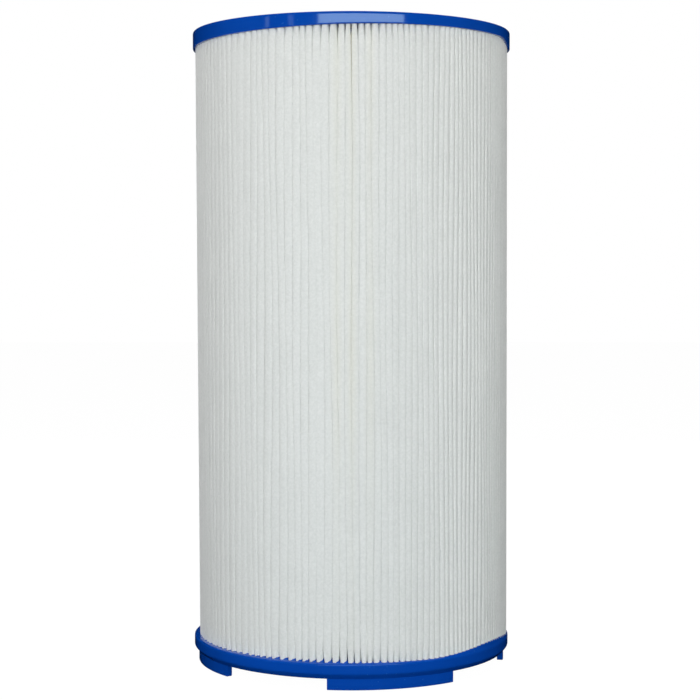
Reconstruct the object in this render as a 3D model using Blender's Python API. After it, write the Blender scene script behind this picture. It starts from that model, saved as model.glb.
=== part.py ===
"""Pleated filter cartridge for a spa or a small pool.

A pack of folded polyester sheet stands between two cast polyurethane end caps, around a lattice
core of four moulded sections that plug into each other. The ends of the pack and of the core sit in
a channel in each cap. The lower cap has four lugs that stand the cartridge off the filter's floor.

Frame: metres, +Z up, the cartridge's axis on Z, the undersides of the lugs at Z = 0.
Angles are counted from -Y towards +X.
"""

import math

import bmesh
import bpy
import numpy as np

MM = 0.001

# Driving dimensions of the cartridge
CAP_RADIUS = 108.0 * MM
BORE_RADIUS = 50.8 * MM
BODY_HEIGHT = 420.5 * MM
LUG_DROP = 7.3 * MM
CLEARANCE = 0.3 * MM
TOP = LUG_DROP + BODY_HEIGHT

# End caps: a disc with a channel that takes the ends of the pack and the core
CAP_FLOOR = 5.0 * MM
CHANNEL_OUTER = CAP_RADIUS - 1.6 * MM
CHANNEL_INNER = BORE_RADIUS + 2.8 * MM
BORE_EDGE = 0.8 * MM
TOP_CAP_HEIGHT = 11.4 * MM
TOP_CAP_EDGE = 1.2 * MM
BOTTOM_CAP_HEIGHT = 10.0 * MM
BOTTOM_CAP_EDGE = 0.8 * MM
BOTTOM_CHAMFER = 3.0 * MM
BOTTOM_CHAMFER_HEIGHT = 3.5 * MM

# Lugs: four arcs under the rim of the lower cap
LUG_COUNT = 4
LUG_SPAN = math.radians(47.5)
FIRST_LUG = math.radians(15.25)
LUG_OUTER = CAP_RADIUS - BOTTOM_CHAMFER
LUG_INNER = 100.9 * MM
LUG_EDGE = 0.6 * MM
LUG_STEPS = 8
GAP_STEPS = 7

# Pleated media: one closed folded sheet
PLEATS = 146
SHEET = 0.6 * MM
FOLD_OUTER = 105.8 * MM
FOLD_INNER = 57.5 * MM
OUTER_FOLD_WIDTH = 1.4 * MM
INNER_FOLD_WIDTH = 1.1 * MM

# Adhesive bead in the valley where the ends of the sheet meet
BEAD_OUTER = 104.0 * MM
BEAD_INNER = 90.0 * MM
BEAD_OUTER_WIDTH = 1.7 * MM
BEAD_INNER_WIDTH = 1.1 * MM

# Core: sections of lattice tube with a spigot above and a socket below
CORE_SECTIONS = 4
CORE_OUTER = FOLD_INNER - CLEARANCE
CORE_INNER = 54.6 * MM
SPIGOT_HEIGHT = 3.0 * MM
SPIGOT_WALL = 1.1 * MM
WINDOW_COLUMNS = 12
WINDOW_ROWS = 3
WINDOW_SPAN = math.radians(18.0)
HOOP_HEIGHT = 6.5 * MM


def polar(radius, angle, height):
    """A point at an angle counted from -Y towards +X."""
    return radius * math.sin(angle), -radius * math.cos(angle), height


def material(name, colour, roughness):
    """A plain plastic or fibre finish."""
    made = bpy.data.materials.new(name)
    made.use_nodes = True
    shader = made.node_tree.nodes["Principled BSDF"]
    shader.inputs["Base Color"].default_value = (*colour, 1.0)
    shader.inputs["Roughness"].default_value = roughness
    shader.inputs["Metallic"].default_value = 0.0
    made.diffuse_color = (*colour, 1.0)
    return made


def add_object(name, bm, finish, smooth_angle=math.radians(35.0)):
    """Turn a finished bmesh into the object of one sub-part."""
    bmesh.ops.recalc_face_normals(bm, faces=bm.faces)
    mesh = bpy.data.meshes.new(name)
    bm.to_mesh(mesh)
    bm.free()
    mesh.materials.append(finish)
    mesh.shade_smooth()
    mesh.set_sharp_from_angle(angle=smooth_angle)
    made = bpy.data.objects.new(name, mesh)
    bpy.context.scene.collection.objects.link(made)
    return made


def turned_body(angles, outlines, end_faces=()):
    """A body turned about Z in flat steps.

    outlines[i] lists the closed outlines, each of (radius, height) points, that run from angles[i] to
    the next angle. end_faces holds (i, outline) pairs that close a body off at angles[i].
    """
    bm = bmesh.new()
    made = {}

    def vertex(step, point):
        key = (step % len(angles), point)
        if key not in made:
            made[key] = bm.verts.new(polar(point[0], angles[key[0]], point[1]))
        return made[key]

    for step, shapes in enumerate(outlines):
        for shape in shapes:
            for low, high in zip(shape, shape[1:] + shape[:1]):
                corners = [(step, low), (step, high), (step + 1, high), (step + 1, low)]
                bm.faces.new([vertex(*corner) for corner in corners])
    for step, shape in end_faces:
        bm.faces.new([vertex(step, point) for point in shape])
    return bm


def lug_angles():
    """The angles around a cap, with a step at both ends of every lug, and the steps that hold a lug."""
    pitch = math.tau / LUG_COUNT
    angles, is_lug = [], []
    for lug in range(LUG_COUNT):
        start = FIRST_LUG - LUG_SPAN / 2 + lug * pitch
        angles += [start + LUG_SPAN * step / LUG_STEPS for step in range(LUG_STEPS)]
        angles += [start + LUG_SPAN + (pitch - LUG_SPAN) * step / GAP_STEPS for step in range(GAP_STEPS)]
        is_lug += [True] * LUG_STEPS + [False] * GAP_STEPS
    return angles, is_lug


def make_bottom_cap(finish):
    """The lower cap: a channelled disc with a chamfered lower edge, and four lugs cast in one with it."""
    rim = LUG_DROP + BOTTOM_CAP_HEIGHT
    floor = LUG_DROP + CAP_FLOOR
    lug_root = (LUG_INNER, LUG_DROP)
    chamfer_low = (CAP_RADIUS - BOTTOM_CHAMFER, LUG_DROP)
    chamfer_high = (CAP_RADIUS, LUG_DROP + BOTTOM_CHAMFER_HEIGHT)
    upper = [
        (CAP_RADIUS, rim - BOTTOM_CAP_EDGE),
        (CAP_RADIUS - BOTTOM_CAP_EDGE, rim),
        (CHANNEL_OUTER, rim),
        (CHANNEL_OUTER, floor),
        (CHANNEL_INNER, floor),
        (CHANNEL_INNER, rim),
        (BORE_RADIUS + BORE_EDGE, rim),
        (BORE_RADIUS, rim - BORE_EDGE),
        (BORE_RADIUS, LUG_DROP + BORE_EDGE),
        (BORE_RADIUS + BORE_EDGE, LUG_DROP),
    ]
    lug = [
        (LUG_INNER, LUG_EDGE),
        (LUG_INNER + LUG_EDGE, 0.0),
        (LUG_OUTER - LUG_EDGE, 0.0),
        (LUG_OUTER, LUG_EDGE),
    ]
    over_gap = [lug_root, chamfer_low, chamfer_high, *upper]
    over_lug = [lug_root, *lug, chamfer_low, chamfer_high, *upper]
    lug_end = [lug_root, *lug, chamfer_low]
    angles, is_lug = lug_angles()
    outlines = [[over_lug if held else over_gap] for held in is_lug]
    ends = [(step, lug_end) for step, held in enumerate(is_lug) if held != is_lug[step - 1]]
    return add_object("bottom_end_cap", turned_body(angles, outlines, ends), finish)


def make_top_cap(finish):
    """The upper cap: the same channelled disc, turned over, with a rounded upper edge and no lugs."""
    rim = TOP - TOP_CAP_HEIGHT
    floor = TOP - CAP_FLOOR
    outline = [
        (CAP_RADIUS, rim),
        (CAP_RADIUS, TOP - TOP_CAP_EDGE),
        (CAP_RADIUS - 0.3 * TOP_CAP_EDGE, TOP - 0.3 * TOP_CAP_EDGE),
        (CAP_RADIUS - TOP_CAP_EDGE, TOP),
        (BORE_RADIUS + BORE_EDGE, TOP),
        (BORE_RADIUS, TOP - BORE_EDGE),
        (BORE_RADIUS, rim + BORE_EDGE),
        (BORE_RADIUS + BORE_EDGE, rim),
        (CHANNEL_INNER, rim),
        (CHANNEL_INNER, floor),
        (CHANNEL_OUTER, floor),
        (CHANNEL_OUTER, rim),
    ]
    angles, _ = lug_angles()
    return add_object("top_end_cap", turned_body(angles, [[outline]] * len(angles)), finish)


def fold_line():
    """The middle of the folded sheet as complex numbers, four corners for each pleat."""
    pitch = math.tau / PLEATS
    outer_half = OUTER_FOLD_WIDTH / 2 / FOLD_OUTER
    inner_half = INNER_FOLD_WIDTH / 2 / FOLD_INNER
    offsets = np.array([-outer_half, outer_half, pitch / 2 - inner_half, pitch / 2 + inner_half])
    radii = np.array([FOLD_OUTER, FOLD_OUTER, FOLD_INNER, FOLD_INNER])
    radii = radii + np.array([-1, -1, 1, 1]) * SHEET / 2
    angles = (np.arange(PLEATS) + 0.5)[:, None] * pitch + offsets
    return (radii * np.exp(1j * (angles - math.pi / 2))).ravel()


def offset_line(line, distance):
    """A closed line moved sideways, with its corners mitred."""
    along = np.roll(line, -1) - line
    side = 1j * along / np.abs(along)
    before = np.roll(side, 1)
    return line + distance * (side + before) / (1 + (side * before.conj()).real)


def make_media(finish):
    """The pleated sheet: the folded line with its thickness, between the floors of the two channels."""
    low = LUG_DROP + CAP_FLOOR + CLEARANCE
    high = TOP - CAP_FLOOR - CLEARANCE
    bm = bmesh.new()
    rings = [
        [bm.verts.new((point.real, point.imag, height)) for point in offset_line(fold_line(), distance)]
        for distance, height in [(-SHEET / 2, low), (-SHEET / 2, high), (SHEET / 2, high), (SHEET / 2, low)]
    ]
    for ring, beside in zip(rings, rings[1:] + rings[:1]):
        for step in range(len(ring)):
            bm.faces.new([ring[step - 1], ring[step], beside[step], beside[step - 1]])
    return add_object("pleated_media", bm, finish, smooth_angle=math.radians(20.0))


def make_seam_bead(finish):
    """A tapered bead of adhesive along the valley of the pleats that faces -Y."""
    low = LUG_DROP + BOTTOM_CAP_HEIGHT + CLEARANCE
    high = TOP - TOP_CAP_HEIGHT - CLEARANCE
    bm = bmesh.new()
    section = [
        (-BEAD_OUTER_WIDTH / 2, -BEAD_OUTER),
        (BEAD_OUTER_WIDTH / 2, -BEAD_OUTER),
        (BEAD_INNER_WIDTH / 2, -BEAD_INNER),
        (-BEAD_INNER_WIDTH / 2, -BEAD_INNER),
    ]
    foot = bm.faces.new([bm.verts.new((x, y, low)) for x, y in section])
    raised = bmesh.ops.extrude_face_region(bm, geom=[foot])["geom"]
    top_corners = [item for item in raised if isinstance(item, bmesh.types.BMVert)]
    bmesh.ops.translate(bm, verts=top_corners, vec=(0.0, 0.0, high - low))
    return add_object("seam_bead", bm, finish)


def core_outlines(base, shoulder, has_socket, has_spigot):
    """The outlines of one core section, cut at a rib and cut at its windows, and the window edges."""
    row_pitch = (shoulder - base - HOOP_HEIGHT) / WINDOW_ROWS
    windows = [
        (base + HOOP_HEIGHT + row * row_pitch, base + (row + 1) * row_pitch) for row in range(WINDOW_ROWS)
    ]
    bottom_inside = [(CORE_INNER, base)]
    if has_socket:
        deep = base + SPIGOT_HEIGHT + CLEARANCE
        wide = CORE_INNER + SPIGOT_WALL + CLEARANCE
        bottom_inside = [(CORE_INNER, deep), (wide, deep), (wide, base)]
    top_end = [(CORE_OUTER, shoulder), (CORE_INNER, shoulder)]
    if has_spigot:
        tip = shoulder + SPIGOT_HEIGHT
        neck = CORE_INNER + SPIGOT_WALL
        top_end = [(CORE_OUTER, shoulder), (neck, shoulder), (neck, tip), (CORE_INNER, tip)]
    outside = [(CORE_OUTER, height) for window in windows for height in window]
    inside = [(CORE_INNER, point[1]) for point in reversed(outside)]
    rib = [(CORE_OUTER, base), *outside, *top_end, *inside, *bottom_inside]
    hoops = [[(CORE_OUTER, base), outside[0], inside[-1], *bottom_inside]]
    for row in range(1, WINDOW_ROWS):
        low, high = windows[row - 1][1], windows[row][0]
        hoops.append([(CORE_OUTER, low), (CORE_OUTER, high), (CORE_INNER, high), (CORE_INNER, low)])
    hoops.append([outside[-1], *top_end, inside[0]])
    edges = [
        [(CORE_OUTER, low), (CORE_OUTER, high), (CORE_INNER, high), (CORE_INNER, low)]
        for low, high in windows
    ]
    return rib, hoops, edges


def make_core_section(index, finish):
    """One length of the core: hoops and ribs with windows between them."""
    bottom = LUG_DROP + CAP_FLOOR + CLEARANCE
    top = TOP - CAP_FLOOR - CLEARANCE
    pitch = (top - bottom + CLEARANCE) / CORE_SECTIONS
    base = bottom + index * pitch
    shoulder = base + pitch - CLEARANCE
    rib, hoops, edges = core_outlines(base, shoulder, index > 0, index < CORE_SECTIONS - 1)
    angles, outlines = [], []
    for column in range(WINDOW_COLUMNS):
        start = column * math.tau / WINDOW_COLUMNS
        angles += [start, start + WINDOW_SPAN]
        outlines += [hoops, [rib]]
    ends = [(step, edge) for step in range(len(angles)) for edge in edges]
    return add_object(f"core_section_{index + 1}", turned_body(angles, outlines, ends), finish)


def build():
    for existing in list(bpy.data.objects):
        bpy.data.objects.remove(existing)
    blue = material("blue_polyurethane", (0.004, 0.060, 0.330), 0.32)
    white = material("white_polyester", (0.78, 0.80, 0.78), 0.90)
    amber = material("amber_adhesive", (0.72, 0.58, 0.26), 0.40)
    grey = material("natural_plastic", (0.62, 0.63, 0.61), 0.45)
    make_top_cap(blue)
    make_bottom_cap(blue)
    make_media(white)
    make_seam_bead(amber)
    for index in range(CORE_SECTIONS):
        make_core_section(index, grey)


build()
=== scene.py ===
"""Pleated filter cartridge for a spa or a small pool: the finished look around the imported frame.

The cartridge's axis is Z, its lugs stand on Z = 0 and its front faces -Y. Angles round the axis are
counted from -Y towards +X, in radians.
"""

import math

import bpy
import numpy as np
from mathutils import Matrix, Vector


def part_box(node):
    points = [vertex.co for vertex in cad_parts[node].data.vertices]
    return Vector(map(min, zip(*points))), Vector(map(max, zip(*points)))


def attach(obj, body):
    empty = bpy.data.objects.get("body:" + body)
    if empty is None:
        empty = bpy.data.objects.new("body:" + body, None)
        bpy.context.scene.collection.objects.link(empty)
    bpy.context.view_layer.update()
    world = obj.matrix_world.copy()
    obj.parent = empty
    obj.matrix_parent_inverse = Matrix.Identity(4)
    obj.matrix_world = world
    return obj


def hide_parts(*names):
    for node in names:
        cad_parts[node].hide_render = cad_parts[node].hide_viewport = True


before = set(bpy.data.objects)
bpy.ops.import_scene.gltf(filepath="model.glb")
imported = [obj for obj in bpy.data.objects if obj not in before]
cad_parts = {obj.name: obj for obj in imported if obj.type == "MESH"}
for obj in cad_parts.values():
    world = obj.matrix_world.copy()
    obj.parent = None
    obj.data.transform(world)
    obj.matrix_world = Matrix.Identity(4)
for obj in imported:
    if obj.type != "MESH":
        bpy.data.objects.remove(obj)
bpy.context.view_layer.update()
MM = 0.001

# ---------------------------------------------------------------------------------------------------
# Viewpoint: a long lens a little above the middle of the cartridge, looking slightly down at it.
# ---------------------------------------------------------------------------------------------------
VIEW_DISTANCE = 1.205
VIEW_HEIGHT = 0.261
# Degrees that the lens points below the horizon, and to the left
VIEW_DOWN = 2.33
VIEW_LEFT = 0.04

lens = bpy.data.cameras.new("viewpoint")
lens.sensor_width = 36.0
lens.lens = 90.0
viewpoint = bpy.data.objects.new("viewpoint", lens)
viewpoint.location = (0.0, -VIEW_DISTANCE, VIEW_HEIGHT)
viewpoint.rotation_euler = (math.radians(90.0 - VIEW_DOWN), 0.0, math.radians(VIEW_LEFT))
bpy.context.scene.collection.objects.link(viewpoint)
bpy.context.scene.camera = viewpoint

# ---------------------------------------------------------------------------------------------------
# Pleated media: a strip of spunbonded polyester felt, scored and folded on a machine, closed into a
# ring and stood in liquid resin at both ends. Near the resin each fold stays pinched; between the
# caps it relaxes until it almost touches the folds beside it.
# ---------------------------------------------------------------------------------------------------
PLEATS = 146
FELT = 0.5 * MM
TIP_RADIUS_LOW = 105.7 * MM
TIP_RADIUS_HIGH = 106.3 * MM
FOOT_SHIFT = 1.4 * MM
ROOT_RADIUS = 58.05 * MM
ROOT_HALF_WIDTH = 0.35 * MM
CAST_LEVEL = 17.7 * MM
CAST_SWELL = 3.5 * MM
SWELL_MIDDLE = math.radians(62.0)
SWELL_REACH = math.radians(34.0)
CAP_TOP = 427.8 * MM
WALL_TALL = 11.4 * MM
WALL_SHORT = 7.0 * MM
SHORT_FROM = math.radians(-105.0)
SHORT_RAMP = math.radians(145.0)
SHORT_TO = math.radians(66.0)
SHORT_END = math.radians(20.0)
CAST_IN = 12.0 * MM
OUTER_ROWS = 60
INNER_ROWS = 20
FOLD_TURNS = np.radians([-90.0, -50.0, 0.0, 50.0, 90.0])
ROOT_SIDES = np.array([-1.0, 0.0, 1.0])

dice = np.random.default_rng(146)


def ease(value):
    """Smooth step: 0 below 0, 1 above 1, and 3 v^2 - 2 v^3 between."""
    held = np.clip(value, 0.0, 1.0)
    return held * held * (3.0 - 2.0 * held)


def turned(angle):
    """The same angle between -pi and pi."""
    return (angle + math.pi) % math.tau - math.pi


def cast_level(angle):
    """Height of the lower resin at the pleats' feet: level, with a cosine-squared swell 68 degrees wide."""
    across = np.clip((turned(angle) - SWELL_MIDDLE) / SWELL_REACH, -1.0, 1.0)
    return CAST_LEVEL + CAST_SWELL * np.cos(across * math.pi / 2.0) ** 2


def wall_edge(angle):
    """Height of the upper cap's lower edge: the wall is shorter on the front right, with eased ends."""
    seen = turned(angle)
    start = ease((seen - SHORT_FROM) / SHORT_RAMP)
    end = 1.0 - ease((seen - SHORT_TO) / SHORT_END)
    return CAP_TOP - WALL_TALL + (WALL_TALL - WALL_SHORT) * start * end


def pleats_before(angle):
    """Pleats between -Y and an angle: the running sum of 146 + 26 sin a + 7 sin 3a pleats per turn."""
    bunched = 26.0 * (1.0 - np.cos(angle)) + 7.0 * (1.0 - np.cos(3.0 * angle)) / 3.0
    return (PLEATS * angle + bunched) / math.tau


def heights_between(low, high, count):
    """Heights that lie close together near both ends: the step from an end grows as its power 1.9."""
    along = np.linspace(-1.0, 1.0, count)
    spread = np.sign(along) * (1.0 - (1.0 - np.abs(along)) ** 1.9)
    return (low + high) / 2.0 + (high - low) / 2.0 * spread


turn_scale = np.linspace(0.0, math.tau, 20001)
pleat_places = np.arange(PLEATS) + 0.5 + dice.normal(0.0, 0.045, PLEATS)
even_tips = np.interp(pleat_places, pleats_before(turn_scale), turn_scale)
even_pitch = np.roll(even_tips, -1) - even_tips
even_pitch[-1] += math.tau
sway_size = dice.normal(0.0, 0.055, (5, PLEATS)) / np.array([1.0, 1.0, 1.6, 2.2, 3.0])[:, None]
sway_phase = dice.uniform(0.0, math.tau, (5, PLEATS))
parting_size = dice.normal(0.0, 0.5, (4, PLEATS))
parting_phase = dice.uniform(0.0, math.tau, (4, PLEATS))
fold_depth = dice.normal(1.0, 0.18, PLEATS)
lean_size = dice.normal(0.0, 0.085, 8)
lean_phase = dice.uniform(0.0, math.tau, (3, 8))
lean_waves = np.array([3, 5, 8, 11, 14, 19, 23, 29])
pair_phase = dice.uniform(0.0, math.tau, 6)
foot_slip = dice.normal(0.0, 0.10, PLEATS)
head_slip = dice.normal(0.0, 0.10, PLEATS)


def tip_angles(heights):
    """The angle of every pleat's tip at each height, as heights x pleats.

    Each pleat sways by a sum of five slow cosines of its own, neighbours lean together by eight
    cosines that run round and up the pack, some pairs close up, and the ends sit where they were cast.
    """
    up = ((heights - heights.min()) / np.ptp(heights))[:, None]
    orders = np.arange(1, 6)[None, :, None] * math.pi
    sway = (sway_size * np.cos(orders * up[:, :, None] + sway_phase)).sum(1)
    around = even_tips[:, None] * lean_waves + lean_phase[0]
    climb = up[:, :, None] * (2.0 + lean_phase[1]) + lean_phase[2]
    lean = (lean_size * np.cos(around[None] + climb)).sum(2)
    slow = np.cos(even_tips * 9.0 + pair_phase[0] + 3.0 * up) * np.cos(even_tips * 4.0 + pair_phase[1])
    pair = 0.10 * np.where(np.arange(PLEATS) % 2, 1.0, -1.0) * slow
    foot = foot_slip * np.exp(-(heights - heights.min()) / CAST_IN)[:, None]
    head = head_slip * np.exp(-(heights.max() - heights) / CAST_IN)[:, None]
    return even_tips + even_pitch * (sway + lean + pair + foot + head)


def near(angle, middle, reach):
    """A bell round an angle, both in degrees: exp(-(distance / reach)^2)."""
    return np.exp(-((np.degrees(turned(angle - math.radians(middle))) / reach) ** 2))


def partings(heights):
    """The gap after each pleat as a share of its pitch: wider on the +X side, opening and closing
    slowly up the pack, and wider still in the upper part of the valley where the felt's ends meet."""
    up = ((heights - heights.min()) / np.ptp(heights))[:, None, None]
    orders = np.arange(1, 5)[:, None] * math.pi
    wander = (parting_size * np.cos(orders * up + parting_phase)).sum(1)
    usual = 0.006 + 0.027 * ease(np.sin(even_tips + even_pitch / 2.0) + 0.1)
    seam = 0.07 * ease((heights[:, None] - 0.37) / 0.045) * (np.arange(PLEATS) == PLEATS - 1)
    return usual * np.clip(1.0 + 0.8 * wander, 0.25, 3.0) + seam


def folded_line(heights):
    """The felt's outer side as complex numbers, heights x (pleats times 8).

    A tip is half an ellipse of five points, as wide as the room to its neighbours allows, and a root
    is three points on a small half circle. Away from the resin a fold relaxes as 1 - exp(-(d/L)^1.5).
    The tips lean: towards the foot they lie up to FOOT_SHIFT further to +X.
    """
    tips = tip_angles(heights)
    after = np.roll(tips, -1, axis=1) - tips
    after[:, -1] += math.tau
    before = np.roll(after, 1, axis=1)
    up = ((heights - heights.min()) / np.ptp(heights))[:, None]
    tip_radius = TIP_RADIUS_LOW + (TIP_RADIUS_HIGH - TIP_RADIUS_LOW) * up
    reach = (2.0 + 3.6 * near(tips, 0.0, 30.0)) * MM
    from_foot = np.maximum(heights[:, None] - cast_level(tips), 0.0) / reach
    from_head = np.maximum(wall_edge(tips) - 0.5 * MM - heights[:, None], 0.0) / reach
    relaxed = (1.0 - np.exp(-(from_foot**1.5))) * (1.0 - np.exp(-(from_head**1.5)))
    pinch_foot = 0.47 - 0.09 * near(tips, 0.0, 34.0)
    pinch_head = 0.45 - 0.08 * near(tips, 0.0, 26.0)
    pinched = pinch_foot + (pinch_head - pinch_foot) * ease(up)
    gap = partings(heights)
    share_after = pinched + relaxed * (0.5 - gap / 2.0 - pinched)
    share_before = pinched + relaxed * (0.5 - np.roll(gap, 1, axis=1) / 2.0 - pinched)
    wide_after = share_after * after * tip_radius
    wide_before = share_before * before * tip_radius
    bend = (0.12 + 0.54 * ease((np.sin(tips) + 0.1) / 1.1)) * np.clip(fold_depth, 0.6, 1.5)
    bend = 0.9 + relaxed * (bend - 0.9)
    deep = bend * (wide_after + wide_before) / 2.0
    turn = FOLD_TURNS[None, None, :]
    wide = np.where(turn < 0.0, wide_before[:, :, None], wide_after[:, :, None])
    outward = tip_radius[:, :, None] - deep[:, :, None] * (1.0 - np.cos(turn))
    ray = np.exp(1j * (tips - math.pi / 2.0))[:, :, None]
    tip_points = ray * (outward + 1j * wide * np.sin(turn)) + FOOT_SHIFT * (1.0 - up)[:, :, None]
    root_angles = even_tips + even_pitch / 2.0
    root_ray = np.exp(1j * (root_angles - math.pi / 2.0))[None, :, None]
    root_offset = ROOT_HALF_WIDTH * (np.abs(ROOT_SIDES) + 1j * ROOT_SIDES)
    root_points = root_ray * (ROOT_RADIUS + root_offset)[None, None, :] + 0.0 * tip_points[:, :, :3]
    return np.concatenate([tip_points, root_points], axis=2).reshape(len(heights), -1)


def moved_aside(line, distance):
    """Closed lines moved to the left of their run by a distance, with mitred corners."""
    along = np.roll(line, -1, axis=1) - line
    left = 1j * along / np.abs(along)
    last = np.roll(left, 1, axis=1)
    return line + distance * (left + last) / (1.0 + (left * last.conj()).real)


def stacked(line, heights):
    """Complex points and the height of each row as a grid of rows x columns x 3."""
    return np.stack([line.real, line.imag, np.broadcast_to(heights[:, None], line.shape)], axis=2)


def ring_mesh(name, grid, sharp=None):
    """A mesh of a rows x columns grid that closes on itself both ways, its faces turned outwards."""
    rows, columns = grid.shape[:2]
    index = np.arange(rows * columns).reshape(rows, columns)
    above = np.roll(index, -1, axis=0)
    quads = np.stack([index, np.roll(index, -1, axis=1), np.roll(above, -1, axis=1), above], axis=2)
    mesh = bpy.data.meshes.new(name)
    mesh.from_pydata(grid.reshape(-1, 3).tolist(), [], quads.reshape(-1, 4).tolist())
    mesh.shade_smooth()
    if sharp is not None:
        mesh.set_sharp_from_angle(angle=math.radians(sharp))
    return mesh


def placed(mesh, finish, slot_name, *replaced):
    """The object of a finished piece: at the origin, on the cartridge's one body."""
    mesh.materials.append(finish)
    piece = bpy.data.objects.new(mesh.name, mesh)
    bpy.context.scene.collection.objects.link(piece)
    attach(piece, "root")
    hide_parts(*replaced)
    return piece


class Shade:
    """A socket of a finish's nodes, on which sums add Math nodes and make() adds any other node."""

    def __init__(self, tree, socket=None):
        self.tree = tree
        self.socket = socket

    def make(self, kind, settings, inputs, output=0):
        """A new node of a type: first its settings, then its sockets as values or links."""
        node = self.tree.nodes.new(kind)
        for name, value in settings.items():
            if name == "stops":
                while len(node.color_ramp.elements) < len(value):
                    node.color_ramp.elements.new(0.5)
                for stop, (place, grey) in zip(node.color_ramp.elements, value):
                    stop.position = place
                    stop.color = (grey, grey, grey, 1.0)
            else:
                setattr(node, name, value)
        for name, value in inputs.items():
            if isinstance(value, Shade):
                self.tree.links.new(value.socket, node.inputs[name])
            else:
                node.inputs[name].default_value = value
        return Shade(self.tree, node.outputs[output])

    def math(self, operation, first, second):
        return self.make("ShaderNodeMath", {"operation": operation}, {0: first, 1: second})

    def __add__(self, other):
        return self.math("ADD", self, other)

    def __sub__(self, other):
        return self.math("SUBTRACT", self, other)

    def __rsub__(self, other):
        return self.math("SUBTRACT", other, self)

    def __mul__(self, other):
        return self.math("MULTIPLY", self, other)

    __radd__ = __add__
    __rmul__ = __mul__

    def between(self, low, high):
        """The colour that lies this far from the low colour to the high one."""
        values = {0: self, 6: low, 7: high}
        return self.make("ShaderNodeMix", {"data_type": "RGBA"}, values, output=2)

    def stops(self, *pairs):
        """The grey that a ramp with these stops gives."""
        return self.make("ShaderNodeValToRGB", {"stops": pairs}, {"Fac": self})

    def noise(self, scale, detail):
        """Cloudy noise at this many waves to the metre, read at this vector."""
        values = {"Vector": self, "Scale": scale, "Detail": detail, "Roughness": 0.6}
        return self.make("ShaderNodeTexNoise", {}, values)

    def stretched(self, scale):
        """This vector with its axes scaled."""
        return self.make("ShaderNodeMapping", {}, {"Vector": self, "Scale": scale})

    def bump(self, strength, depth):
        """The normal over this height, for a full swing of depth in metres."""
        return self.make("ShaderNodeBump", {}, {"Strength": strength, "Distance": depth, "Height": self})


def finish_of(name, build):
    """A material whose shader's sockets are what build(hand) returns."""
    made = bpy.data.materials.new(name)
    made.use_nodes = True
    made.node_tree.nodes.clear()
    hand = Shade(made.node_tree)
    surface = hand.make("ShaderNodeBsdfPrincipled", {}, build(hand))
    result = made.node_tree.nodes.new("ShaderNodeOutputMaterial")
    made.node_tree.links.new(surface.socket, result.inputs["Surface"])
    return made


def felt_finish(hand):
    """White felt: matted fibres both ways along the sheet, calender spots, and a little glue soaked in."""
    sheet = hand.make("ShaderNodeUVMap", {"uv_map": "felt"}, {})
    place = hand.make("ShaderNodeTexCoord", {}, {}, output=3)
    long_fibres = sheet.stretched((900.0, 5200.0, 1.0)).noise(1.0, 3.0)
    cross_fibres = sheet.stretched((5200.0, 1100.0, 1.0)).noise(1.0, 3.0)
    spots = sheet.stretched((1500.0, 1500.0, 1.0)).noise(1.0, 1.0)
    matted = (long_fibres + cross_fibres) * 0.5
    clouds = place.noise(34.0, 3.0)
    soak = hand.make("ShaderNodeAttribute", {"attribute_name": "soak"}, {}, output=2)
    tone = sheet.stretched((17.0, 1.2, 1.0)).noise(1.0, 1.0)
    white = (clouds * 0.5 + tone * 0.5).stops((0.3, 0.0), (0.7, 1.0))
    white = white.between((0.775, 0.795, 0.755, 1.0), (0.860, 0.877, 0.840, 1.0))
    fleck = place.noise(620.0, 2.0)
    fibre = (matted * 0.5 + fleck * 0.5).stops((0.38, 0.0), (0.62, 1.0))
    fibre = fibre.between((0.72, 0.735, 0.71, 1.0), (0.90, 0.905, 0.885, 1.0))
    cloth = hand.make("ShaderNodeMix", {"data_type": "RGBA"}, {0: 0.5, 6: white, 7: fibre}, output=2)
    glued = (soak * 0.8).between(cloth, (0.80, 0.78, 0.60, 1.0))
    rough = matted * 0.12 + 0.82
    relief = (matted + spots * 0.5).bump(0.35, 0.12 * MM)
    return {
        "Base Color": glued,
        "Roughness": rough,
        "Normal": relief,
        "Sheen Weight": 0.45,
        "Sheen Roughness": 0.6,
        "Specular IOR Level": 0.25,
    }


pack_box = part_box("pleated_media")
pack_low, pack_high = pack_box[0].z, pack_box[1].z
seen_low, seen_high = 17.0 * MM, 420.4 * MM


def pack_heights(count):
    """The rows of one side of the felt: both cast ends, and close rows near the resin."""
    return np.concatenate([[pack_low], heights_between(seen_low, seen_high, count - 2), [pack_high]])


outer_heights = pack_heights(OUTER_ROWS)
inner_heights = pack_heights(INNER_ROWS)
outer_line = folded_line(outer_heights)
inner_line = moved_aside(folded_line(inner_heights), FELT)
pack_grid = np.concatenate([stacked(outer_line, outer_heights), stacked(inner_line, inner_heights)[::-1]])
pack_mesh = ring_mesh("pleated_felt", pack_grid, sharp=75.0)

steps_along = np.abs(np.roll(outer_line[OUTER_ROWS // 2], -1) - outer_line[OUTER_ROWS // 2])
run = np.concatenate([[0.0], np.cumsum(steps_along)])
rise = np.concatenate([outer_heights, inner_heights[::-1] + 0.5, [outer_heights[0]]])
row_count, column_count = pack_grid.shape[:2]
row_of = np.arange(row_count)[:, None, None] + np.array([0, 0, 1, 1])
column_of = np.arange(column_count)[None, :, None] + np.array([0, 1, 1, 0])
felt_map = np.stack(np.broadcast_arrays(run[column_of], rise[row_of]), axis=3)
pack_mesh.uv_layers.new(name="felt").data.foreach_set("uv", felt_map.astype(np.float32).ravel())

pack_angle = turned(np.arctan2(pack_grid[:, :, 0], -pack_grid[:, :, 1]))
pack_up = pack_grid[:, :, 2]
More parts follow.
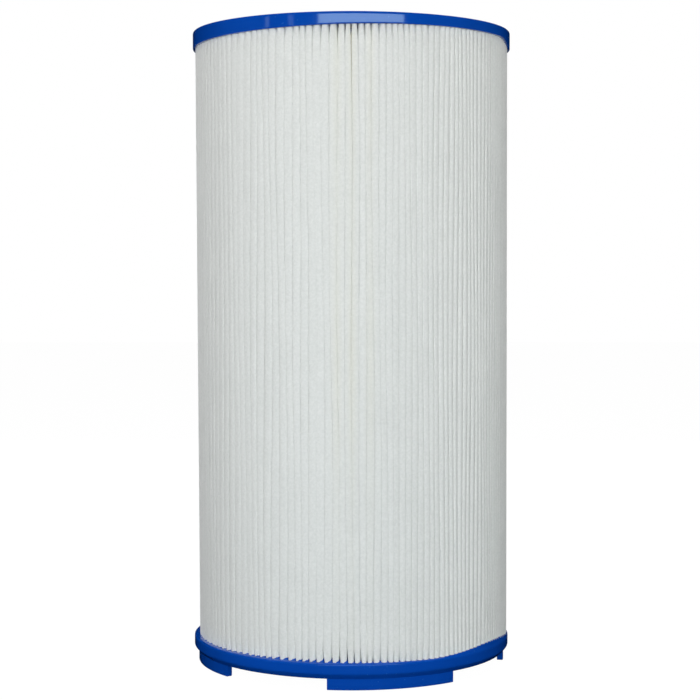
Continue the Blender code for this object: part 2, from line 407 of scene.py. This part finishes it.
# Glue that soaked into the felt: how much, at which angle and how wide in degrees, fading downwards
soaked = 0.30 * near(pack_angle, -5.0, 1.6)
soaked += 0.35 * near(pack_angle, 0.2, 1.5)
soaked += 0.25 * near(pack_angle, 6.5, 1.5)
soaked *= (0.75 + 0.25 * np.cos(pack_up * 31.0)) * (0.3 + 0.7 * ease(pack_up / 0.2 - 0.2))
soak_layer = pack_mesh.attributes.new("soak", "FLOAT", "POINT")
soak_layer.data.foreach_set("value", soaked.astype(np.float32).ravel())

felt = finish_of("spunbonded_polyester", felt_finish)
pack = placed(pack_mesh, felt, "media", "pleated_media")

# ---------------------------------------------------------------------------------------------------
# Seam bead: hot-melt adhesive run down the valley where the two ends of the felt meet.
# It is amber, waxy and a little uneven, because it is laid by hand and pressed between the pleats.
# ---------------------------------------------------------------------------------------------------
BEAD_ROWS = 90
BEAD_SIDES = 12


def bead_finish(hand):
    """Amber hot-melt: clear and cloudy streaks, smooth skin."""
    place = hand.make("ShaderNodeTexCoord", {}, {}, output=3)
    streaks = place.stretched((260.0, 260.0, 30.0)).noise(1.0, 2.0)
    colour = streaks.between((0.50, 0.40, 0.18, 1.0), (0.66, 0.58, 0.36, 1.0))
    return {
        "Base Color": colour,
        "Roughness": streaks * 0.2 + 0.35,
        "Normal": streaks.bump(0.3, 0.3 * MM),
    }


bead_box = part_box("seam_bead")
bead_up = np.linspace(0.0, 1.0, BEAD_ROWS)
bead_heights = bead_box[0].z + (bead_box[1].z - bead_box[0].z) * bead_up
bead_end = np.sqrt(1.0 - np.clip(1.0 - np.minimum(bead_up, 1.0 - bead_up) * 60.0, 0.0, 0.995) ** 2)
bead_turn = np.linspace(0.0, math.tau, BEAD_SIDES, endpoint=False)[None, :]
bead_front = -bead_box[1].y + 1.0 * MM * np.sin(bead_heights * 70.0)
bead_front = bead_front + 0.6 * MM * np.sin(bead_heights * 190.0)
bead_middle = ((-bead_box[0].y) + bead_front) / 2.0
bead_deep = ((-bead_box[0].y) - bead_front) / 2.0 * bead_end
bead_wide = (0.55 + 0.10 * np.sin(bead_heights * 110.0)) * MM * bead_end
bead_x = bead_wide[:, None] * np.cos(bead_turn)
bead_y = -bead_middle[:, None] + bead_deep[:, None] * np.sin(bead_turn)
bead_grid = np.stack([bead_x, bead_y, np.broadcast_to(bead_heights[:, None], bead_x.shape)], axis=2)
bead_index = np.arange(BEAD_ROWS * BEAD_SIDES).reshape(BEAD_ROWS, BEAD_SIDES)
bead_next = np.roll(bead_index, -1, axis=1)
bead_quads = np.stack([bead_index[:-1], bead_next[:-1], bead_next[1:], bead_index[1:]], axis=2)
bead_faces = bead_quads.reshape(-1, 4).tolist() + [bead_index[0, ::-1].tolist(), bead_index[-1].tolist()]
bead_mesh = bpy.data.meshes.new("seam_adhesive")
bead_mesh.from_pydata(bead_grid.reshape(-1, 3).tolist(), [], bead_faces)
bead_mesh.shade_smooth()
bead_mesh.set_sharp_from_angle(angle=math.radians(60.0))
placed(bead_mesh, finish_of("amber_hot_melt", bead_finish), "adhesive", "seam_bead")

# ---------------------------------------------------------------------------------------------------
# Core: four injection-moulded lattice sections of natural polystyrene, each plugged into the next
# by a thin spigot. Hoops and ribs hold the pleats off the bore; the water passes the windows.
# ---------------------------------------------------------------------------------------------------
CORE_SECTIONS = 4
CORE_OUTER = 57.2 * MM
CORE_INNER = 54.6 * MM
SPIGOT_HEIGHT = 3.0 * MM
SPIGOT_WALL = 1.1 * MM
CORE_GAP = 0.3 * MM
HOOP_HEIGHT = 6.5 * MM
HOOP_MIDDLE = 3.6 * MM
WINDOW_WIDTH = math.radians(18.0)
COLUMN_WIDTH = math.radians(30.0)
WINDOW_COLUMNS = 12
WINDOW_ROWS = 3
WINDOW_STEPS = 9
RIB_STEPS = 6
CORE_EDGE = 0.35 * MM


def lattice_mesh(name, angles, outer, inner, solid):
    """A pierced tube. outer and inner are rows x 2 of (radius, height); solid is True where a cell of
    the grid holds plastic. Every solid cell has an outer and an inner face, and a wall where it ends."""
    ray = np.stack([np.sin(angles), -np.cos(angles)], axis=1)
    layers = [
        np.concatenate(
            [side[:, None, :1] * ray[None], np.broadcast_to(side[:, None, 1:], (len(side), len(angles), 1))],
            axis=2,
        )
        for side in (outer, inner)
    ]
    points = np.concatenate([layer.reshape(-1, 3) for layer in layers])
    index = np.arange(len(points) // 2).reshape(len(outer), len(angles))
    after = np.roll(index, -1, axis=1)
    ll, lr, hl, hr = index[:-1], after[:-1], index[1:], after[1:]
    deep = len(points) // 2
    nothing = np.zeros((1, solid.shape[1]), bool)
    below = np.concatenate([nothing, solid[:-1]])
    above = np.concatenate([solid[1:], nothing])
    walls = [
        (solid, (ll, lr, hr, hl)),
        (solid, (hl + deep, hr + deep, lr + deep, ll + deep)),
        (solid & ~below, (lr, ll, ll + deep, lr + deep)),
        (solid & ~above, (hl, hr, hr + deep, hl + deep)),
        (solid & ~np.roll(solid, -1, axis=1), (hr, lr, lr + deep, hr + deep)),
        (solid & ~np.roll(solid, 1, axis=1), (ll, hl, hl + deep, ll + deep)),
    ]
    quads = np.concatenate([np.stack(corners, axis=2)[held] for held, corners in walls])
    used, quads = np.unique(quads, return_inverse=True)
    mesh = bpy.data.meshes.new(name)
    mesh.from_pydata(points[used].tolist(), [], quads.reshape(-1, 4).tolist())
    mesh.shade_smooth()
    return mesh


def core_finish(hand):
    """Natural moulded plastic: milky, faintly streaked by the flow, with a satin skin."""
    place = hand.make("ShaderNodeTexCoord", {}, {}, output=3)
    flow = place.stretched((60.0, 60.0, 14.0)).noise(1.0, 3.0)
    grain = place.noise(1800.0, 2.0)
    return {
        "Base Color": flow.between((0.60, 0.62, 0.60, 1.0), (0.74, 0.75, 0.72, 1.0)),
        "Roughness": flow * 0.15 + 0.34,
        "Normal": (flow + grain * 0.3).bump(0.12, 0.2 * MM),
    }


core_plastic = finish_of("natural_polystyrene", core_finish)
window_turn = np.linspace(0.0, WINDOW_WIDTH, WINDOW_STEPS + 1)[:-1]
rib_turn = np.linspace(WINDOW_WIDTH, COLUMN_WIDTH, RIB_STEPS + 1)[:-1]
core_turn = np.concatenate([window_turn, rib_turn])
core_angles = (np.arange(WINDOW_COLUMNS)[:, None] * math.tau / WINDOW_COLUMNS + core_turn).ravel()
in_window = np.tile(np.arange(len(core_turn)) < WINDOW_STEPS, WINDOW_COLUMNS)
for number in range(1, CORE_SECTIONS + 1):
    low, high = (corner.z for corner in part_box(f"core_section_{number}"))
    shoulder = high - SPIGOT_HEIGHT if number < CORE_SECTIONS else high
    row_pitch = (shoulder - low - HOOP_HEIGHT) / WINDOW_ROWS
    sills = low + HOOP_HEIGHT + row_pitch * np.arange(WINDOW_ROWS)
    lintels = low + row_pitch * (1.0 + np.arange(WINDOW_ROWS))
    openings = np.linspace(sills, lintels, 5).T.ravel()
    outer_side = [(CORE_OUTER, height) for height in [low, low + HOOP_MIDDLE, *openings, shoulder]]
    inner_side = [(CORE_INNER, height) for height in [low, low + HOOP_MIDDLE, *openings, shoulder]]
    open_rows = np.tile([True, True, True, True, False], WINDOW_ROWS)[:-1]
    row_is_open = np.concatenate([[False, False], open_rows, [False]])
    if number > 1:
        socket = CORE_INNER + SPIGOT_WALL + CORE_GAP
        inner_side[0] = (socket, low)
        inner_side[1:1] = [(socket, low + SPIGOT_HEIGHT + CORE_GAP)]
        outer_side[1:1] = [(CORE_OUTER, low + SPIGOT_HEIGHT)]
        row_is_open = np.concatenate([[False], row_is_open])
    if number < CORE_SECTIONS:
        neck = CORE_INNER + SPIGOT_WALL
        inner_side[-1] = (CORE_INNER, shoulder - 0.6 * MM)
        outer_side += [(neck, shoulder), (neck, high)]
        inner_side += [(CORE_INNER, shoulder), (CORE_INNER, high)]
        row_is_open = np.concatenate([row_is_open, [False, False]])
    solid = ~(row_is_open[:, None] & in_window[None, :])
    core_mesh = lattice_mesh(
        f"core_lattice_{number}", core_angles, np.array(outer_side), np.array(inner_side), solid
    )
    section = placed(core_mesh, core_plastic, "core", f"core_section_{number}")
    rounded = section.modifiers.new("moulded_edges", "BEVEL")
    rounded.width = CORE_EDGE
    rounded.segments = 2
    rounded.limit_method = "ANGLE"
    rounded.angle_limit = math.radians(40.0)
    rounded.harden_normals = True

# ---------------------------------------------------------------------------------------------------
# Lower end cap: blue polyurethane cast in an open mould round the feet of the pleats, with a
# chamfered lower edge and four arc lugs in one with it. The resin wets the valleys between pleats.
# ---------------------------------------------------------------------------------------------------
CAP_UNDERSIDE = 7.3 * MM
LOWER_RIM = 17.3 * MM
LUGS = 4
LUG_SPAN = math.radians(47.5)
LUG_RADIUS = 105.0 * MM
FIRST_LUG = math.radians(15.25)
ROOT_FILLET = 1.0 * MM
CORNER = 0.4 * MM
COLUMNS_PER_PLEAT = 6
VALLEY_RISE = 0.3 * MM
VALLEY_RISE_FRONT = 3.0 * MM
# Radius and height in millimetres of the rows from the lugs' inner root up to the wall
LUG_ROWS = np.array(
    [
        (100.9, 7.3),
        (100.9, 1.0),
        (100.9, 0.4),
        (101.02, 0.12),
        (101.3, 0.0),
        (104.4, 0.0),
        (104.85, 0.12),
        (105.0, 0.45),
        (105.0, 3.6),
        (105.0, 7.0),
        (105.05, 7.36),
        (105.4, 7.65),
        (105.9, 8.25),
        (106.4, 8.85),
        (106.9, 9.45),
        (107.5, 10.15),
        (107.85, 10.62),
    ]
)
# The same rows between two lugs, where the underside is flat
GAP_ROWS = np.array(
    [
        (100.9, 7.3),
        (101.2, 7.3),
        (101.5, 7.3),
        (101.8, 7.3),
        (102.1, 7.3),
        (103.3, 7.3),
        (103.6, 7.3),
        (103.9, 7.3),
        (104.3, 7.3),
        (104.7, 7.3),
        (105.05, 7.36),
        (105.4, 7.65),
        (105.9, 8.25),
        (106.4, 8.85),
        (106.9, 9.45),
        (107.5, 10.15),
        (107.85, 10.62),
    ]
)
SATIN_DEPTH = 0.6 * MM


def cap_finish(hand):
    """Blue cast polyurethane: deep, glossy and slightly wavy, with fine specks. The flat upper face,
    which the resin took from the mould's plate, is satin: rougher from SATIN_DEPTH below it upwards."""
    place = hand.make("ShaderNodeTexCoord", {}, {}, output=3)
    clouds = place.noise(22.0, 3.0)
    grain = place.noise(900.0, 2.0)
    specks = place.noise(640.0, 0.0).stops((0.79, 0.0), (0.84, 1.0))
    waves = place.noise(70.0, 2.0)
    height = hand.make("ShaderNodeSeparateXYZ", {}, {0: place}, output=2)
    satin = ((height - (CAP_TOP - SATIN_DEPTH)) * (1.0 / SATIN_DEPTH)).stops((0.0, 0.0), (1.0, 1.0))
    blue = clouds.between((0.0015, 0.060, 0.400, 1.0), (0.0028, 0.078, 0.490, 1.0))
    speckled = (specks * 0.15).between(blue, (0.10, 0.30, 0.72, 1.0))
    return {
        "Base Color": speckled,
        "Roughness": clouds * 0.05 + grain * 0.03 + 0.05 + satin * 0.45,
        "Normal": (waves + grain * 0.03).bump(0.06, 0.6 * MM),
        "Specular Tint": (0.62, 0.90, 1.0, 1.0),
        "IOR": 1.5,
    }


def cap_columns(extra=()):
    """The angles of a cap's columns, six to a pleat with any extra ones, and how far each lies from a
    tip (0) to a valley (1), at the height of the row that is nearest the resin."""
    tips = tip_angles(outer_heights)[1]
    places = np.arange(PLEATS + 1)
    closed = np.append(tips, tips[0] + math.tau)
    even = np.interp(np.arange(PLEATS * COLUMNS_PER_PLEAT) / COLUMNS_PER_PLEAT, places, closed)
    angles = np.sort(np.concatenate([even, np.asarray(extra, float)]), kind="stable")
    part = np.interp(angles, closed, places) % 1.0
    return angles, 1.0 - np.abs(2.0 * part - 1.0)


def cap_grid(angles, radii, heights):
    """A grid of rows x columns x 3 from the radius and height of every row at every angle."""
    radii, heights = np.broadcast_arrays(radii, heights)
    return np.stack([radii * np.sin(angles), -radii * np.cos(angles), heights], axis=2)


blue_resin = finish_of("blue_polyurethane", cap_finish)
pitch = math.tau / LUGS
lug_middles = FIRST_LUG + np.arange(LUGS) * pitch
# Distance along the rim from a lug's end, out of the lug, and how much of the lug's depth is there
fillet_steps = np.array([1.0, 0.8, 0.55, 0.3, 0.1, 0.0]) * ROOT_FILLET
fillet_depth = (ROOT_FILLET - np.sqrt(ROOT_FILLET**2 - (ROOT_FILLET - fillet_steps) ** 2)) / CAP_UNDERSIDE
corner_steps = np.array([-0.02, -0.12, -0.4]) * MM
corner_depth = 1.0 - np.array([CORNER, 0.12 * MM, 0.0]) / CAP_UNDERSIDE
end_steps = np.concatenate([fillet_steps, corner_steps]) / LUG_RADIUS
end_depth = np.concatenate([fillet_depth, corner_depth])
first_ends = lug_middles[:, None] - LUG_SPAN / 2.0 - end_steps
last_ends = lug_middles[:, None] + LUG_SPAN / 2.0 + end_steps
start_of_turn = tip_angles(outer_heights)[1][0]
end_angles = np.concatenate([first_ends.ravel(), last_ends.ravel()])
end_angles = (end_angles - start_of_turn) % math.tau + start_of_turn
angles, valley = cap_columns(end_angles)
from_lug = np.abs(turned(angles[:, None] - lug_middles)).min(1) - LUG_SPAN / 2.0
order = np.argsort(end_steps)
depth = np.interp(from_lug, end_steps[order], end_depth[order])[None, :]

lug_rows, gap_rows = LUG_ROWS[:, None, :] * MM, GAP_ROWS[:, None, :] * MM
low_radii = gap_rows[..., 0] + (lug_rows[..., 0] - gap_rows[..., 0]) * depth
low_heights = gap_rows[..., 1] + (lug_rows[..., 1] - gap_rows[..., 1]) * depth
cast = cast_level(angles)[None, :]
wall_radii = np.array([108.0, 108.0, 108.0, 108.0, 107.9, 107.6, 107.15])[:, None] * MM
wall_heights = np.array([11.2, 12.0, 15.7, 16.4, 16.95, 17.2, 17.3])[:, None] * MM
wall_heights = wall_heights + np.array([0.0, 0.0, 0.0, 0.0, 0.05, 0.2, 0.5])[:, None] * (cast - LOWER_RIM)
cast_radii = np.array([106.7, 106.2, 105.6, 104.8, 103.8, 102.4, 100.0, 92.0, 78.0, 64.0, 56.5, 53.0])
climb = ease((108.4 - cast_radii) / 1.7)[:, None]
wetting = ease((106.0 - cast_radii) / 2.6)[:, None]
valley_rise = (VALLEY_RISE + VALLEY_RISE_FRONT * near(angles, -5.0, 28.0)) * valley**1.5
cast_heights = LOWER_RIM + (cast - LOWER_RIM) * climb + wetting * valley_rise[None, :]
inward = ease((60.0 - cast_radii) / 5.0)[:, None]
cast_heights = cast_heights * (1.0 - inward) + LOWER_RIM * inward
bore_radii = np.array([51.9, 51.2, 50.8, 50.8, 50.8, 51.2, 51.9, 56.0, 70.0, 88.0])[:, None] * MM
bore_heights = np.array([17.3, 17.0, 16.4, 12.3, 8.2, 7.6, 7.3, 7.3, 7.3, 7.3])[:, None] * MM
everywhere = np.zeros_like(angles)[None, :]
lower_radii = np.concatenate(
    [low_radii, wall_radii + everywhere, cast_radii[:, None] * MM + everywhere, bore_radii + everywhere]
)
lower_heights = np.concatenate(
    [low_heights, wall_heights + everywhere, cast_heights, bore_heights + everywhere]
)
lower_mesh = ring_mesh("lower_cap", cap_grid(angles, lower_radii, lower_heights), sharp=38.0)
placed(lower_mesh, blue_resin, "end_cap", "bottom_end_cap")

# ---------------------------------------------------------------------------------------------------
# Upper end cap: the same resin, cast second with the cartridge turned over, so its rim is thinner
# on one side. The upper edge is rounded by the mould; the underside hangs between the pleats.
# ---------------------------------------------------------------------------------------------------
UNDERSIDE = CAP_TOP - WALL_TALL

head_angles = cap_columns()[0]
edge = wall_edge(head_angles)[None, :]
head_flat = np.zeros_like(head_angles)[None, :]
hang_radii = np.array([53.0, 56.5, 64.0, 80.0, 96.0, 102.5, 104.2, 105.0, 105.6, 106.2, 106.8])
hang = ease((hang_radii - 72.0) / 12.0)[:, None]
hang_heights = UNDERSIDE + (edge - UNDERSIDE) * hang
outside_radii = np.array([107.6, 107.88, 108.0, 108.0, 108.0, 108.0, 107.85, 107.4, 106.8])[:, None] * MM
outside_heights = np.concatenate(
    [edge, edge + 0.1 * MM, edge + 0.4 * MM, edge + 0.9 * MM]
    + [head_flat + CAP_TOP - drop * MM for drop in (1.8, 1.2, 0.6, 0.15, 0.0)]
)
face_radii = np.array([104.0, 98.0, 90.0, 78.0, 68.0, 60.0, 56.2, 55.6, 52.4, 51.2, 50.8, 50.8, 50.8, 51.4])
face_drop = np.array([0.02, 0.1, 0.15, 0.18, 0.15, 0.1, 0.1, 0.35, 0.35, 0.55, 1.1, 6.0, 10.6, 11.3])
upper_radii = np.concatenate(
    [outside_radii + head_flat, face_radii[:, None] * MM + head_flat, hang_radii[:, None] * MM + head_flat]
)
upper_heights = np.concatenate(
    [outside_heights, CAP_TOP - face_drop[:, None] * MM + head_flat, hang_heights]
)
upper_mesh = ring_mesh("upper_cap", cap_grid(head_angles, upper_radii, upper_heights), sharp=38.0)
placed(upper_mesh, blue_resin, "end_cap", "top_end_cap")

# ---------------------------------------------------------------------------------------------------
# Floor and light: a plain white floor in a white room, and plain white softboxes in front, on both
# sides, behind and above. A mild cool fill stands for light off the table, and three low cards that
# show only in reflections give the upper rim its bright patch and streaks.
# ---------------------------------------------------------------------------------------------------
FLOOR_SIZE = 6.0
FLOOR_DROP = 0.05 * MM
corners = [
    (-FLOOR_SIZE, -FLOOR_SIZE),
    (FLOOR_SIZE, -FLOOR_SIZE),
    (FLOOR_SIZE, FLOOR_SIZE),
    (-FLOOR_SIZE, FLOOR_SIZE),
]
floor_mesh = bpy.data.meshes.new("floor")
floor_mesh.from_pydata([(x, y, -FLOOR_DROP) for x, y in corners], [], [(0, 1, 2, 3)])


def floor_finish(hand):
    """Plain white paper. Nearly all of its brightness is its own glow, so that it stays even and pale."""
    place = hand.make("ShaderNodeTexCoord", {}, {}, output=3)
    paper = place.noise(3.0, 1.0).between((0.030, 0.030, 0.030, 1.0), (0.034, 0.034, 0.034, 1.0))
    return {
        "Base Color": paper,
        "Roughness": 1.0,
        "Specular IOR Level": 0.0,
        "Emission Color": (1.0, 1.0, 1.0, 1.0),
        "Emission Strength": 0.99,
    }


floor_mesh.materials.append(finish_of("white_floor", floor_finish))
floor = bpy.data.objects.new("floor", floor_mesh)
bpy.context.scene.collection.objects.link(floor)
floor.visible_glossy = False
floor.visible_diffuse = False
floor.visible_shadow = False

WHITE = (1.0, 1.0, 1.0)
COOL_WHITE = (0.72, 0.88, 1.0)


def panel(name, azimuth, distance, middle, width, height, strength, shows=False, colour=WHITE):
    """A plain upright softbox at an azimuth and distance, facing the axis. One that shows gives
    glossy reflections only, and any other gives matt light only."""
    light = bpy.data.lights.new(name, "AREA")
    light.shape = "RECTANGLE"
    light.size = width
    light.size_y = height
    light.color = colour
    light.energy = strength * math.pi * width * height
    holder = bpy.data.objects.new(name, light)
    turn = math.radians(azimuth)
    holder.location = (distance * math.sin(turn), -distance * math.cos(turn), middle)
    holder.rotation_euler = (math.radians(90.0), 0.0, turn)
    holder.visible_camera = False
    holder.visible_glossy = shows
    holder.visible_diffuse = not shows
    bpy.context.scene.collection.objects.link(holder)
    return holder


# Each one's azimuth in degrees, distance, middle height, width and height in metres, and strength
panel("front", 0.0, 1.1, 0.46, 1.2, 0.9, 2.8)
panel("table_bounce", 0.0, 0.9, -0.10, 1.4, 0.3, 1.5, colour=COOL_WHITE)
panel("left", -85.0, 0.9, 0.40, 0.9, 0.8, 1.2)
panel("right", 88.0, 0.9, 0.40, 0.9, 0.8, 0.8)
panel("back", 180.0, 1.6, 0.45, 2.6, 1.2, 2.7)
overhead = panel("overhead", 0.0, 0.0, 2.4, 2.2, 2.2, 2.0)
overhead.rotation_euler = (0.0, 0.0, 0.0)
panel("window", 7.0, 2.2, 0.72, 2.5, 0.4, 6.0, shows=True)
panel("far_strip", -60.0, 2.2, 0.72, 0.12, 0.4, 1.5, shows=True)
panel("near_strip", -42.0, 2.2, 0.72, 0.14, 0.4, 1.2, shows=True)

sky = bpy.data.worlds.new("white_room")
sky.use_nodes = True
sky.node_tree.nodes["Background"].inputs["Color"].default_value = (1.0, 1.0, 1.0, 1.0)
sky.node_tree.nodes["Background"].inputs["Strength"].default_value = 1.0
sky.cycles_visibility.diffuse = False
sky.cycles_visibility.glossy = False
bpy.context.scene.world = sky
bpy.context.scene.view_settings.view_transform = "Standard"
